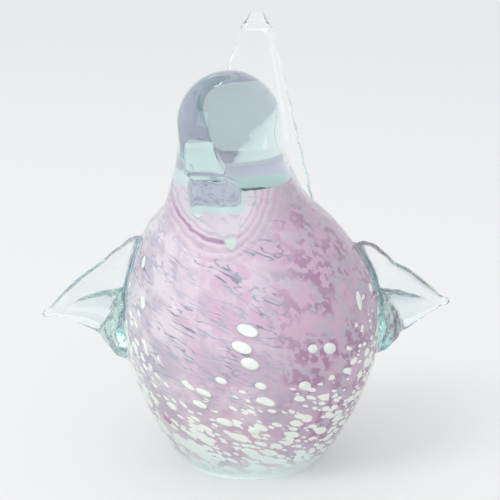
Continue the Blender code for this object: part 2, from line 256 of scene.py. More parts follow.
@dataclass(frozen=True)
class Slice:
    """A slice of a drawn bit, square to the way that it runs."""

    place: Vector
    half_width: float
    half_depth: float
    facing: Matrix
    squareness: float = 2.0

    def middle(self) -> Vector:
        """The slice's middle."""
        return self.place

    def corner(self, angle: float) -> Vector:
        """The slice's point at an angle, on an oval or a softened oblong.

        Args:
            angle: The angle round the slice.

        Returns:
            The point.
        """
        power = 2.0 / self.squareness
        cosine, sine = math.cos(angle), math.sin(angle)
        x = math.copysign(abs(cosine) ** power, cosine) * self.half_width
        y = math.copysign(abs(sine) ** power, sine) * self.half_depth
        return self.place + self.facing @ Vector((x, y, 0.0))

    def grown(self, by: float, end: int) -> "Slice":
        """The slice with room round it, moved out along the bit where it is an end of it.

        Args:
            by: How much room it gets.
            end: -1 at the bit's first end, 1 at its last and 0 between them.

        Returns:
            The larger slice.
        """
        along = self.facing @ Vector((0.0, 0.0, 1.0))
        place = self.place + along * by * end
        return replace(self, place=place, half_width=self.half_width + by, half_depth=self.half_depth + by)


def draw_out(name: str, rings: Sequence[Level | Slice], sides: int) -> Solid:
    """A closed solid, extruded from a disc and shaped ring by ring.

    Args:
        name: The solid's name.
        rings: The rings from one end to the other.
        sides: How many points each ring has.

    Returns:
        The solid.
    """
    deselect()
    bpy.ops.mesh.primitive_circle_add(vertices=sides, radius=1.0, fill_type="NGON", location=(0, 0, 0))
    obj = bpy.context.object
    obj.name = name
    bpy.ops.object.mode_set(mode="EDIT")
    for last, ring in zip(rings, rings[1:]):
        step = ring.middle() - last.middle()
        bpy.ops.mesh.extrude_region_move(TRANSFORM_OT_translate={"value": step})
    bpy.ops.object.mode_set(mode="OBJECT")
    angles = [2 * math.pi * k / sides for k in range(sides)]
    corners = [ring.corner(angle) for ring in rings for angle in angles]
    obj.data.vertices.foreach_set("co", np.ravel(corners))
    edit(obj, lambda: bpy.ops.mesh.normals_make_consistent(inside=False))
    return obj


def slices_along(rows: Sequence[Sequence[float]], across: Vector, steps: int) -> list[Slice]:
    """Slices on a smooth run through rows of x, y, z, half width, half depth and squareness.

    Args:
        rows: The rows that shape the bit.
        across: The way that a slice's width lies.
        steps: How many slices lie between each two rows.

    Returns:
        The slices, each square to the run.
    """
    line = flow_line(rows, steps)
    slices = []
    for i, row in enumerate(line):
        ahead = Vector(line[min(i + 1, len(line) - 1)][:3])
        behind = Vector(line[max(i - 1, 0)][:3])
        along = (ahead - behind).normalized()
        width = (across - along * along.dot(across)).normalized()
        facing = Matrix((width, along.cross(width), along)).transposed()
        slices.append(Slice(Vector(row[:3]), row[3], row[4], facing, row[5]))
    return slices


def grown_slices(slices: Sequence[Slice], by: float) -> list[Slice]:
    """A bit's slices with room all round them."""
    ends = [-1] + [0] * (len(slices) - 2) + [1]
    return [piece.grown(by, end) for piece, end in zip(slices, ends)]


# Shapes of the bird


@dataclass
class BodyShape:
    """The egg of the body: radius and height of each point of its outside."""

    outline: tuple[Span, ...] = (
        (19.2, 0.0), (23.6, 5.0), (31.4, 20.0), (35.6, 36.0),
        (34.5, 52.0), (27.3, 67.0), (20.2, 74.5), (16.3, 82.5),
    )
    steps: int = 5
    sides: int = 72

    def line(self, inset: float) -> np.ndarray:
        """The outline inside the glass, as radius and height.

        Args:
            inset: How far inside it lies.

        Returns:
            The outline's points, one to a row.
        """
        line = flow_line(self.outline, self.steps) * MM
        along = np.gradient(line, axis=0)
        along /= np.linalg.norm(along, axis=1)[:, None]
        return line - inset * np.stack([along[:, 1], -along[:, 0]], axis=1)

    def reach(self, height: float) -> float:
        """The radius of the glass at a height, from the foot to the crown of the head."""
        radii, heights = np.vstack([self.line(0.0), HEAD.line()]).T
        return float(np.interp(height, heights, radii))

    def rings(self, inset: float = 0.0, bottom: float = -2.0 * MM, top: float = math.inf) -> list[Level]:
        """Level rings of the body.

        Args:
            inset: How far inside the glass they lie.
            bottom: The height of the first ring.
            top: The height that they stop below.

        Returns:
            The rings from the bottom up.
        """
        line = self.line(inset)
        inside = [(height, radius) for radius, height in line if bottom < height < top]
        return [Level(*level, self.reach(level[0])) for level in [(bottom, line[0][0]), *inside]]


@dataclass
class HeadShape:
    """The clear ball of the head, its neck and its flared foot."""

    radius: float = 14.1 * MM
    centre: float = 97.7 * MM
    sides: int = 56
    neck: tuple[Span, ...] = ((16.3, 80.5), (16.3, 82.5), (14.9, 86.7), (13.9, 92.5))
    neck_steps: int = 3
    ball_steps: int = 16
    ball_from: float = math.radians(95)
    ball_to: float = math.radians(6)

    def line(self) -> np.ndarray:
        """The head's outline from its foot to its crown, as radius and height.

        Returns:
            The outline's points, one to a row.
        """
        angles = np.linspace(self.ball_from, self.ball_to, self.ball_steps)
        round_ball = np.array([(math.sin(angle), math.cos(angle)) for angle in angles])
        ball = self.radius * round_ball + (0.0, self.centre)
        neck = flow_line([*self.neck, ball[0] / MM], self.neck_steps) * MM
        return np.vstack([neck[self.neck_steps :], ball[1:]])

    def rings(self) -> list[Level]:
        """Level rings of the head, from inside the collar up."""
        line = np.vstack([np.array(self.neck[:1]) * MM, self.line()])
        return [Level(height, radius, radius) for radius, height in line]

    def inner_rings(self, depth: float) -> list[Level]:
        """Level rings that far inside the head."""
        rings = self.rings()
        return [
            Level(ring.height - depth * (i == len(rings) - 1), ring.radius - depth, ring.radius)
            for i, ring in enumerate(rings)
            if ring.radius > 2 * depth
        ]


HEAD = HeadShape()
EGG = BodyShape()
FINE_HEAD = replace(HEAD, sides=192, neck_steps=8, ball_steps=48, ball_to=math.radians(1))
FINE_EGG = replace(EGG, sides=192, steps=12)


@dataclass
class BeakShape:
    """The beak: a clear block laid on the face, a lower one on the breast, a tip and its nub."""

    rows: tuple[Row, ...] = (
        (-13.8, -18.3, 94.9, 2.9, 3.0, 3.0),
        (-13.7, -18.6, 94.3, 3.8, 4.1, 3.6),
        (-13.5, -19.2, 93.0, 4.2, 4.9, 4.0),
        (-13.2, -20.2, 91.2, 4.6, 5.6, 4.0),
        (-12.6, -21.2, 89.2, 5.2, 5.9, 4.0),
        (-12.2, -21.5, 87.6, 5.4, 5.7, 4.0),
        (-11.6, -21.5, 86.2, 5.0, 4.9, 4.0),
        (-10.4, -22.6, 84.9, 6.2, 5.6, 4.0),
        (-9.8, -23.3, 83.2, 6.8, 5.7, 4.0),
        (-9.5, -23.8, 81.2, 6.9, 5.5, 4.0),
        (-9.3, -24.2, 79.0, 6.9, 5.2, 4.0),
        (-9.1, -24.6, 77.2, 6.6, 4.7, 4.0),
        (-8.0, -25.1, 75.6, 5.3, 4.1, 3.2),
        (-6.9, -25.8, 73.8, 3.7, 3.6, 2.6),
        (-5.9, -26.7, 72.0, 2.3, 3.0, 2.3),
        (-5.5, -27.6, 70.4, 1.9, 2.6, 2.1),
        (-5.5, -28.2, 69.2, 1.5, 2.0, 2.0),
        (-5.5, -28.5, 68.6, 0.8, 1.1, 2.0),
    )
    steps: int = 4
    sides: int = 56

    def slices(self) -> list[Slice]:
        """The beak's level slices, from its top on the face down to the nub.

        Returns:
            The slices.
        """
        facing = Matrix.Diagonal((1.0, -1.0, -1.0))
        line = flow_line(self.rows, self.steps)
        line[:, :5] *= MM
        return [Slice(Vector(row[:3]), row[3], row[4], facing, row[5]) for row in line]


@dataclass
class WingShape:
    """A wing drawn out from the flank: a rounded lobe under a thin web, and a nub at the tip."""

    side: Side
    reach: float
    tip_height: float
    height: float = 46.9 * MM
    root: float = 35.6 * MM
    shoulder: float = 0.91
    half_height: float = 16.5 * MM
    half_thickness: float = 9.0 * MM
    web: float = 2.4 * MM
    lobe_share: float = 0.62
    sweep: float = 3.0 * MM
    nub: float = 1.35 * MM
    squareness: float = 2.0
    steps: int = 4
    sides: int = 36

    def at(self, x: float, half_height: float, half_thickness: float) -> Row:
        """A row of the wing.

        Args:
            x: How far from the bird's middle it is.
            half_height: Half of the wing's height there.
            half_thickness: Half of its thickness.

        Returns:
            The row.
        """
        out = max(x - self.root, 0.0) / self.reach
        height = self.height + (self.tip_height - self.height) * out**2
        place = (self.side.value * x, self.sweep * out, height)
        return (*place, half_thickness, half_height, self.squareness)

    def beyond(self, out: float, high: float, thick: float) -> Row:
        """A row of the wing at a share of its reach, with shares of its root's sizes."""
        return self.at(self.root + out * self.reach, high * self.half_height, thick * self.half_thickness)

    def rows(self) -> list[Row]:
        """The wing's rows from inside the body to the nub."""
        tip = self.root + self.reach
        return [
            self.at(0.35 * self.root, 0.80 * self.half_height, self.half_thickness),
            self.at(0.86 * self.root, 1.22 * self.shoulder * self.half_height, 1.20 * self.half_thickness),
            self.beyond(0.05, self.shoulder, 0.92),
            self.beyond(0.20, 0.77 * self.shoulder, 0.70),
            self.beyond(0.35, 0.55, 0.56),
            self.beyond(0.55, 0.38, 0.42),
            self.beyond(0.76, 0.20, 0.26),
            self.at(tip - 1.8 * self.nub, 0.95 * self.nub, 0.90 * self.nub),
            self.at(tip - self.nub, self.nub, self.nub),
            self.at(tip, 0.60 * self.nub, 0.60 * self.nub),
        ]

    def slices(self) -> list[Slice]:
        """The whole wing's slices, which its room is made from."""
        return slices_along(self.rows(), FORWARD, self.steps)

    def web_slices(self) -> list[Slice]:
        """The thin web's slices, as high as the wing."""
        rows = [(*row[:3], min(row[3], self.web), *row[4:]) for row in self.rows()]
        return slices_along(rows, FORWARD, self.steps)

    def lobe_slices(self) -> list[Slice]:
        """The rounded lobe's slices, along the wing's lower edge.

        Returns:
            The slices.
        """
        rows = []
        for x, y, z, thick, high, square in self.rows():
            half = max(self.lobe_share * high, min(high, self.nub))
            rows.append((x, y, z - (high - half), thick, half, square))
        return slices_along(rows, FORWARD, self.steps)


@dataclass
class TailShape:
    """The thin upright blade of the tail, crimped along its edges, with its narrow end."""

    root: Vector = field(default_factory=lambda: Vector((0.0, 33.0, 67.0)) * MM)
    rise: float = 53.0 * MM
    back: float = 19.3 * MM
    curve: float = 0.2
    side: float = 1.4 * MM
    depth: float = 14.0 * MM
    root_half_width: float = 18.6 * MM
    tip_half_width: float = 4.3 * MM
    crimp: float = 0.5 * MM
    crimp_pitch: float = 6.5 * MM
    squareness: float = 2.2
    steps: int = 12
    sides: int = 64

    def at(self, up: float, half_thickness: float, narrowing: float = 1.0) -> Row:
        """A row of the tail.

        Args:
            up: The share of its rise that the row is at.
            half_thickness: Half of the tail's thickness there.
            narrowing: The share of its width that is left there.

        Returns:
            The row.
        """
        back = self.back * up * (1.0 - self.curve * (1.0 - up))
        middle = self.root + Vector((self.side * max(up, 0.0), back, self.rise * up))
        half_width = self.root_half_width + (self.tip_half_width - self.root_half_width) * up
        return (*middle, half_width * narrowing, half_thickness, self.squareness)

    def slices(self) -> list[Slice]:
        """The tail's slices from inside the back to the narrow end.

        Returns:
            The slices.
        """
        rows = [
            self.at(-self.depth / self.rise, 4.6 * MM, 0.85),
            self.at(0.0, 4.2 * MM),
            self.at(0.33, 3.15 * MM),
            self.at(0.66, 2.1 * MM),
            self.at(0.90, 1.8 * MM),
            self.at(0.935, 2.2 * MM, 0.98),
            self.at(0.958, 1.7 * MM, 0.82),
            self.at(0.985, 1.2 * MM, 0.60),
            self.at(1.01, 0.9 * MM, 0.50),
        ]
        slices = slices_along(rows, ACROSS, self.steps)
        return [replace(piece, half_width=piece.half_width + self.crimped(piece.place.z)) for piece in slices]

    def crimped(self, height: float) -> float:
        """How far the edges stand out at a height, where the tongs nipped them."""
        return self.crimp * abs(math.sin(math.pi * height / self.crimp_pitch)) - self.crimp


# Finishes


@dataclass(frozen=True)
class Clouds:
    """Clouds of noise: their grain, the strengths that they show between, and their most."""

    scale: float
    detail: float
    start: float
    end: float
    roughness: float = 0.5
    distortion: float = 0.0
    most: float = 1.0


class Nodes:
    """A material's nodes, added and joined one by one."""

    NOISE_MIDDLE = 0.5
    MIX_INPUTS = (0, 6, 7)
    MIX_OUTPUT = 2

    def __init__(self, name: str) -> None:
        """Starts a material with a Principled shader.

        Args:
            name: The material's name.
        """
        self.material = bpy.data.materials.new(name)
        self.material.use_nodes = True
        self.tree = self.material.node_tree
        self.shader = self.tree.nodes["Principled BSDF"]
        self.output = self.tree.nodes["Material Output"]

    def put(self, target: Socket, value: object) -> None:
        """Joins a socket to an input, or sets the input to a number, a place or a colour.

        Args:
            target: The input.
            value: The socket, or what the input is set to.
        """
        if isinstance(value, bpy.types.NodeSocket):
            self.tree.links.new(value, target)
        elif target.type == "RGBA":
            target.default_value = (*value, 1.0)
        else:
            target.default_value = value

    def fit(self, node: bpy.types.Node, **values: object) -> bpy.types.Node:
        """Sets a node's inputs and its other settings.

        Args:
            node: The node.
            values: The settings by name, with an underscore for a space in an input's name.

        Returns:
            The node.
        """
        for name, value in values.items():
            target = node.inputs.get(name.replace("_", " "))
            if target is None:
                setattr(node, name, value)
            else:
                self.put(target, value)
        return node

    def add(self, kind: str, **values: object) -> bpy.types.Node:
        """A new node of a kind, with its inputs and settings."""
        return self.fit(self.tree.nodes.new(kind), **values)

    def place(self) -> Socket:
        """The place on the object, in metres."""
        return self.add("ShaderNodeTexCoord").outputs["Object"]

    def axes(self, place: Socket) -> list[Socket]:
        """A place or a direction, axis by axis."""
        return self.add("ShaderNodeSeparateXYZ", Vector=place).outputs[:]

    def maths(self, operation: str, *values: object, kind: str = "ShaderNodeMath") -> Socket:
        """A sum of numbers or sockets.

        Args:
            operation: Blender's name for the sum.
            values: The numbers or sockets.
            kind: The node's type, for numbers or for vectors.

        Returns:
            The result.
        """
        node = self.add(kind, operation=operation)
        for target, value in zip(node.inputs, values):
            self.put(target, value)
        return node.outputs[0]

    def minus(self, value: object, less: object) -> Socket:
        """A number or socket, less another."""
        return self.maths("SUBTRACT", value, less)

    def times(self, *values: object) -> Socket:
        """The product of sockets and numbers.

        Args:
            values: The sockets and numbers, a socket first.

        Returns:
            The product, which is the socket itself where it is alone.
        """
        product, *others = values
        for other in others:
            product = self.maths("MULTIPLY", product, other)
        return product

    def off(self, value: Socket, centre: float) -> Socket:
        """How far a value is from a centre, either way."""
        return self.maths("ABSOLUTE", self.minus(value, centre))

    def away(self, across: Socket, along: Socket) -> Socket:
        """How far off a place is that lies so far across and so far along."""
        squares = [self.maths("POWER", value, 2.0) for value in (across, along)]
        return self.maths("SQRT", self.maths("ADD", *squares))

    def ramp(self, value: Socket, start: float, end: float, most: float = 1.0) -> Socket:
        """A share that goes gently from 0 to its most as a value goes from start to end."""
        ends = {"Value": value, "From_Min": start, "From_Max": end, "To_Max": most}
        return self.add("ShaderNodeMapRange", interpolation_type="SMOOTHSTEP", **ends).outputs["Result"]

    def noise(self, place: Socket, scale: float, detail: float, **values: float) -> Socket:
        """How strong a noise is at a place."""
        node = self.add("ShaderNodeTexNoise", Vector=place, Scale=scale, Detail=detail, **values)
        return node.outputs["Fac"]

    def lines(self, place: Socket, scale: float, **values: float) -> Socket:
        """How far a noise is from its middle, which draws lines where it is close."""
        return self.off(self.noise(place, scale, 1.0, **values), self.NOISE_MIDDLE)

    def clouds(self, place: Socket, look: Clouds) -> Socket:
        """Where clouds of noise show."""
        grain = {"Roughness": look.roughness, "Distortion": look.distortion}
        return self.ramp(self.noise(place, look.scale, look.detail, **grain), look.start, look.end, look.most)

    def mix(self, share: object, first: object, second: object) -> Socket:
        """A mix of two colours.

        Args:
            share: How much of the second colour there is.
            first: The first colour or socket.
            second: The second colour or socket.

        Returns:
            The mixed colour.
        """
        node = self.add("ShaderNodeMix", data_type="RGBA")
        for index, value in zip(self.MIX_INPUTS, (share, first, second)):
            self.put(node.inputs[index], value)
        return node.outputs[self.MIX_OUTPUT]

    def blend(self, share: Socket, first: bpy.types.Node, second: bpy.types.Node) -> bpy.types.Node:
        """A mix of two shaders.

        Args:
            share: How much of the second shader there is.
            first: The first shader.
            second: The second shader.

        Returns:
            The mixed shader.
        """
        node = self.add("ShaderNodeMixShader")
        for target, value in zip(node.inputs, (share, first.outputs[0], second.outputs[0])):
            self.put(target, value)
        return node


@dataclass(frozen=True)
class ClearGlass:
    """Clear glass with a sea-green depth, fused where pieces meet and ground where it stands."""

    name: str = "clear_glass"
    colour: Colour = (1.0, 1.0, 1.0)
    ior: float = 1.5
    depth_colour: Colour = (0.256, 0.758, 0.722)
    depth_density: float = 7.5
    shadow_tint: Colour = (0.93, 0.97, 0.97)
    ground_height: float = 0.05 * MM
    ground_roughness: float = 0.55

    def material(self) -> bpy.types.Material:
        """Mixes the glass.

        Returns:
            The material.
        """
        nodes = Nodes(self.name)
        ground = nodes.maths("LESS_THAN", nodes.axes(nodes.place())[2], self.ground_height)
        nodes.fit(nodes.shader, Base_Color=self.colour, IOR=self.ior, Transmission_Weight=1.0)
        nodes.fit(nodes.shader, Roughness=nodes.times(ground, self.ground_roughness))
        clear = nodes.add("ShaderNodeBsdfTransparent")
        tint = nodes.add("ShaderNodeBsdfTransparent", Color=self.shadow_tint)
        skin = nodes.blend(nodes.add("ShaderNodeLightPath").outputs["Is Shadow Ray"], nodes.shader, tint)
        fused = nodes.add("ShaderNodeAttribute", attribute_name=JOINT_ATTRIBUTE).outputs["Fac"]
        joined = nodes.blend(fused, skin, clear)
        depth = nodes.add("ShaderNodeVolumeAbsorption", Color=self.depth_colour, Density=self.depth_density)
        nodes.fit(nodes.output, Surface=joined.outputs[0], Volume=depth.outputs[0])
        return nodes.material


@dataclass(frozen=True)
class CloudyGlass:
    """Opaque glass, a little uneven in colour."""

    name: str
    pale: Colour
    deep: Colour
    clouds: Clouds = Clouds(600.0, 2.0, 0.35, 0.65)
    roughness: float = 0.5
    shine: float = 0.0

    def material(self) -> bpy.types.Material:
        """Mixes the glass.

        Returns:
            The material.
        """
        nodes = Nodes(self.name)
        colour = nodes.mix(nodes.clouds(nodes.place(), self.clouds), self.pale, self.deep)
        nodes.fit(nodes.shader, Base_Color=colour, Roughness=self.roughness, Specular_IOR_Level=self.shine)
        return nodes.material


WHITE_FRIT = CloudyGlass("white_frit_glass", (0.95, 0.98, 0.88), (0.86, 0.93, 0.86))
MAGENTA_FRIT = CloudyGlass("magenta_frit_glass", (0.62, 0.25, 0.42), (0.45, 0.13, 0.30))
OPAL = CloudyGlass(
    "opal_heart_glass",
    (0.74, 0.68, 0.78),
    (0.60, 0.54, 0.68),
    Clouds(90.0, 4.0, 0.35, 0.65, distortion=1.5),
    roughness=0.35,
    shine=0.5,
)


# Paint of the colour coat


@dataclass(frozen=True)
class Palette:
    """The colours of the powder and the frit in the coat, and the colours of its painted light."""

    lilac: Colour = (0.57, 0.49, 0.57)
    rose: Colour = (0.66, 0.45, 0.58)
    pale: Colour = (0.77, 0.69, 0.73)
    mauve: Colour = (0.42, 0.23, 0.37)
    blue_grey: Colour = (0.49, 0.46, 0.55)
    slate: Colour = (0.42, 0.43, 0.53)
    thread: Colour = (0.25, 0.25, 0.34)
    cream: Colour = (0.95, 0.98, 0.89)
    mint: Colour = (0.86, 0.95, 0.92)
    crown: Colour = (0.56, 0.51, 0.63)
    veil: Colour = (0.68, 0.61, 0.65)
    pool: Colour = (0.41, 0.44, 0.50)
    # sea is also the colour of the painted glints along the beak's edges.
    sea: Colour = (0.52, 0.68, 0.65)
    frost: Colour = (0.68, 0.76, 0.70)
    rim: Colour = (0.10, 0.16, 0.18)
    # Painted light: a paler lavender for the nape, which lifts the shade that falls there.
    nape_light: Colour = (0.88, 0.74, 0.90)


TINT = Palette()


@dataclass
class Coat:
    """The coat as it is painted, and the places on its glass that the paint follows."""

    name: str
    twist: float = 10.0
    warp: float = 0.6 * MM
    warp_scale: float = 170.0
    slant: float = 0.38

    def __post_init__(self) -> None:
        """Starts the material in lilac, and finds the places."""
        self.nodes = Nodes(self.name)
        self.place = self.nodes.place()
        self.x, self.y, self.z = self.nodes.axes(self.place)
        self.rolled = self.roll()
        self.colour: object = TINT.lilac

    def roll(self) -> Socket:
        """Places on the glass as it was rolled, so that frit lies in tilted ovals.

        Returns:
            The rolled place.
        """
        nodes, vectors = self.nodes, "ShaderNodeVectorMath"
        wobble = nodes.add("ShaderNodeTexNoise", Vector=self.place, Scale=self.warp_scale, Detail=1.0)
        middle = (nodes.NOISE_MIDDLE,) * 3
        shift = nodes.maths("SUBTRACT", wobble.outputs["Color"], middle, kind=vectors)
        shift = nodes.maths("MULTIPLY", shift, (2.0 * self.warp,) * 3, kind=vectors)
        moved = nodes.maths("ADD", self.place, shift, kind=vectors)
        turned = nodes.add("ShaderNodeVectorRotate", rotation_type="Z_AXIS", Vector=moved)
        return nodes.fit(turned, Angle=nodes.times(self.z, self.twist)).outputs[0]

    def smeared(self, place: Socket, flatness: float) -> Socket:
        """A place on glass that was smeared sideways and down, so that its frit lies flatter.

        Args:
            place: The place before that.
            flatness: How many times flatter the frit lies.

        Returns:
            The smeared place.
        """
        x, y, z = self.nodes.axes(place)
        height = self.nodes.times(self.nodes.maths("ADD", z, self.nodes.times(x, self.slant)), flatness)
        return self.nodes.add("ShaderNodeCombineXYZ", X=x, Y=y, Z=height).outputs[0]

    def along(self, value: Socket, span: Span, most: float = 1.0) -> Socket:
        """A share that goes gently from 0 to its most along a span in millimetres."""
        return self.nodes.ramp(value, span[0] * MM, span[1] * MM, most)

    def lay(self, tint: object, *shares: object) -> None:
        """Lays a colour on the coat, as much as the product of its shares says."""
        self.colour = self.nodes.mix(self.nodes.times(*shares), self.colour, tint)


@dataclass(frozen=True)
class Powder:
    """Pale and lilac powder, rose in the middle, mauve cells on the left breast, and a nape painted paler as
    painted light, which lifts the shade there.
    """

    clouds: Clouds = Clouds(110.0, 3.0, 0.40, 0.60, roughness=0.6)
    blush: Clouds = Clouds(190.0, 2.0, 0.44, 0.55, most=0.85)
    cells: Clouds = Clouds(500.0, 1.5, 0.45, 0.54, most=0.9)
    depth: Clouds = Clouds(140.0, 1.0, 0.36, 0.58)
    foot: Span = (2.0, 16.0)
    neck: Span = (84.0, 72.0)
    middle: Span = (-26.0, -8.0)
    left: Span = (-2.0, 17.0)
    flush: float = 0.40
    shade: float = 0.75
    # The nape is painted paler as painted light, to lift the shade that falls on it.
    nape_light_back: Span = (8.0, 20.0)
    nape_light_rise: Span = (40.0, 54.0)
    nape_light_share: float = 0.9

    def paint(self, coat: Coat) -> None:
        """Lays the powder on.

        Args:
            coat: The coat.
        """
        nodes = coat.nodes
        coat.lay(TINT.pale, nodes.clouds(coat.rolled, self.clouds))
        band = nodes.times(coat.along(coat.z, self.foot), coat.along(coat.z, self.neck))
        middle = nodes.times(coat.along(coat.x, self.middle), band)
        left = nodes.times(coat.along(coat.x, self.left), band)
        coat.lay(TINT.rose, middle, self.flush)
        coat.lay(TINT.blue_grey, left, self.shade)
        coat.lay(TINT.rose, nodes.clouds(coat.rolled, self.blush), middle)
        warm = nodes.mix(nodes.clouds(coat.rolled, self.depth), TINT.rose, TINT.mauve)
        coat.lay(warm, nodes.clouds(coat.rolled, self.cells), left)
        # Painted light: the nape is laid in the paler lavender to lift its shade.
        back, rise = coat.along(coat.y, self.nape_light_back), coat.along(coat.z, self.nape_light_rise)
        coat.lay(TINT.nape_light, back, rise, self.nape_light_share)


@dataclass(frozen=True)
class Threads:
    """Grey-blue threads where the powder tore as it was drawn out, a few of them dark."""

    flatness: float = 3.0
    wave_scale: float = 230.0
    wave_roughness: float = 0.4
    tear_scale: float = 120.0
    side: Span = (16.0, 0.0)
    rise: Span = (16.0, 34.0)
    soft_line: Span = (0.065, 0.015)
    soft_tear: Span = (0.40, 0.52)
    soft_share: float = 0.85
    dark_line: Span = (0.055, 0.015)
    dark_tear: Span = (0.46, 0.54)
    dark_patches: Clouds = Clouds(95.0, 1.0, 0.49, 0.55)
    dark_rise: Span = (26.0, 50.0)

    def paint(self, coat: Coat) -> None:
        """Lays the threads on.

        Args:
            coat: The coat.
        """
        nodes = coat.nodes
        drawn = coat.smeared(coat.rolled, self.flatness)
        line = nodes.lines(drawn, self.wave_scale, Roughness=self.wave_roughness)
        tear = nodes.noise(drawn, self.tear_scale, 1.0)
        here = nodes.times(coat.along(coat.x, self.side), coat.along(coat.z, self.rise))
        soft = nodes.times(nodes.ramp(line, *self.soft_line), nodes.ramp(tear, *self.soft_tear))
        dark = nodes.times(nodes.ramp(line, *self.dark_line), nodes.ramp(tear, *self.dark_tear))
        patches, rise = nodes.clouds(coat.rolled, self.dark_patches), coat.along(coat.z, self.dark_rise)
        coat.lay(TINT.slate, soft, nodes.times(here, self.soft_share))
        coat.lay(TINT.thread, dark, patches, rise, here)


@dataclass(frozen=True)
class BeakCausticAndShadow:
    """Painted light round the beak's foot: rings of pale and rose as the beak's painted caustic, and one dark
    arc as its painted shadow.
    """

    middle: Span = (-9.0, 80.0)
    flatness: float = 0.95
    wobble_scale: float = 130.0
    wobble: float = 2.4 * MM
    reach: float = 20.0 * MM
    near: Span = (17.5, 13.0)
    front: Span = (-4.0, -12.0)
    share: float = 0.7
    # The painted shadow's arc under the beak.
    shadow_arc_radius: float = 10.9 * MM
    shadow_arc_width: Span = (0.60, 0.20)
    shadow_arc_side: Span = (-1.0, -8.0)
    shadow_arc_share: float = 0.8
    # The painted caustic's rings, out from the beak's foot: where each colour starts.
    rings: tuple[tuple[float, Colour], ...] = (
        (0.00, TINT.lilac), (0.44, TINT.pale), (0.47, TINT.lilac), (0.50, TINT.pale),
        (0.56, TINT.rose), (0.58, TINT.pale), (0.63, TINT.rose), (0.65, TINT.lilac),
        (0.67, TINT.pale), (0.73, TINT.rose), (0.75, TINT.lilac), (0.77, TINT.pale),
        (0.86, TINT.rose),
    )

    def paint(self, coat: Coat) -> None:
        """Lays the painted caustic rings and the painted shadow arc on.

        Args:
            coat: The coat.
        """
        nodes = coat.nodes
        across = nodes.minus(coat.x, self.middle[0] * MM)
        up = nodes.times(nodes.minus(coat.z, self.middle[1] * MM), self.flatness)
        wobble = nodes.minus(nodes.noise(coat.place, self.wobble_scale, 2.0), nodes.NOISE_MIDDLE)
        away = nodes.maths("ADD", nodes.away(across, up), nodes.times(wobble, self.wobble))
        caustic_bands = nodes.add("ShaderNodeValToRGB")
        nodes.put(caustic_bands.inputs[0], nodes.maths("DIVIDE", away, self.reach))
        elements = caustic_bands.color_ramp.elements
        for place, _ in self.rings[1:-1]:
            elements.new(place)
        for element, (place, tint) in zip(elements, self.rings):
            element.position = place
            element.color = (*tint, 1.0)
        front = coat.along(coat.y, self.front)
        # Painted caustic: rings of pale and rose round the beak's foot.
        coat.lay(caustic_bands.outputs[0], coat.along(away, self.near), front, self.share)
        # Painted shadow: a dark mauve arc under the beak.
        shadow_arc = coat.along(nodes.off(away, self.shadow_arc_radius), self.shadow_arc_width)
        coat.lay(TINT.mauve, shadow_arc, front, coat.along(coat.x, self.shadow_arc_side), self.shadow_arc_share)


@dataclass(frozen=True)
class Pool:
    """The blue pool that the beak pressed into the powder, sea-green painted glints along its lip and the
    beak's edge, and the nub.
    """

    middle: float = -9.6 * MM
    width: Span = (7.2, 5.2)
    front: Span = (-4.0, -10.0)
    rise: Span = (76.6, 77.2)
    share: float = 0.85
    flatness: float = 3.0
    line_scale: float = 380.0
    line: Span = (0.060, 0.01)
    line_share: float = 0.75
    # Painted glints: sea-green lines for the light that the beak's glass edges refract.
    lip_glint_height: float = 77.3 * MM
    lip_glint_width: Span = (1.1, 0.5)
    edge_height: float = 70.0 * MM
    edge_slope: float = 0.25
    edge_side: float = -4.5 * MM
    edge_width: Span = (0.8, 0.3)
    edge_rise: Span = (-1.0, 2.0)
    edge_share: float = 0.7
    nub_side: float = -5.5 * MM
    nub_drop: float = -1.3 * MM
    nub_size: Span = (1.6, 0.8)

    def paint(self, coat: Coat) -> None:
        """Lays the pool, the painted glints along its lip and edge, and the nub on.

        Args:
            coat: The coat.
        """
        nodes = coat.nodes
        front = coat.along(coat.y, self.front)
        line = nodes.lines(coat.smeared(coat.place, self.flatness), self.line_scale)
        pool = nodes.mix(nodes.ramp(line, *self.line, self.line_share), TINT.pool, TINT.thread)
        # Painted glint: a sea-green line along the pool's lip.
        pool = nodes.mix(coat.along(nodes.off(coat.z, self.lip_glint_height), self.lip_glint_width), pool, TINT.sea)
        beside = coat.along(nodes.off(coat.x, self.middle), self.width)
        coat.lay(pool, beside, front, coat.along(coat.z, self.rise), self.share)
        # Painted glint: a sea-green line down the beak's right edge.
        up = nodes.minus(coat.z, self.edge_height)
        edge = nodes.minus(coat.x, nodes.times(up, self.edge_slope))
        edge = coat.along(nodes.off(edge, self.edge_side), self.edge_width)
        coat.lay(TINT.sea, edge, coat.along(up, self.edge_rise), front, self.edge_share)
        nub = nodes.away(nodes.minus(coat.x, self.nub_side), nodes.minus(up, self.nub_drop))
        coat.lay(TINT.frost, coat.along(nub, self.nub_size), front)


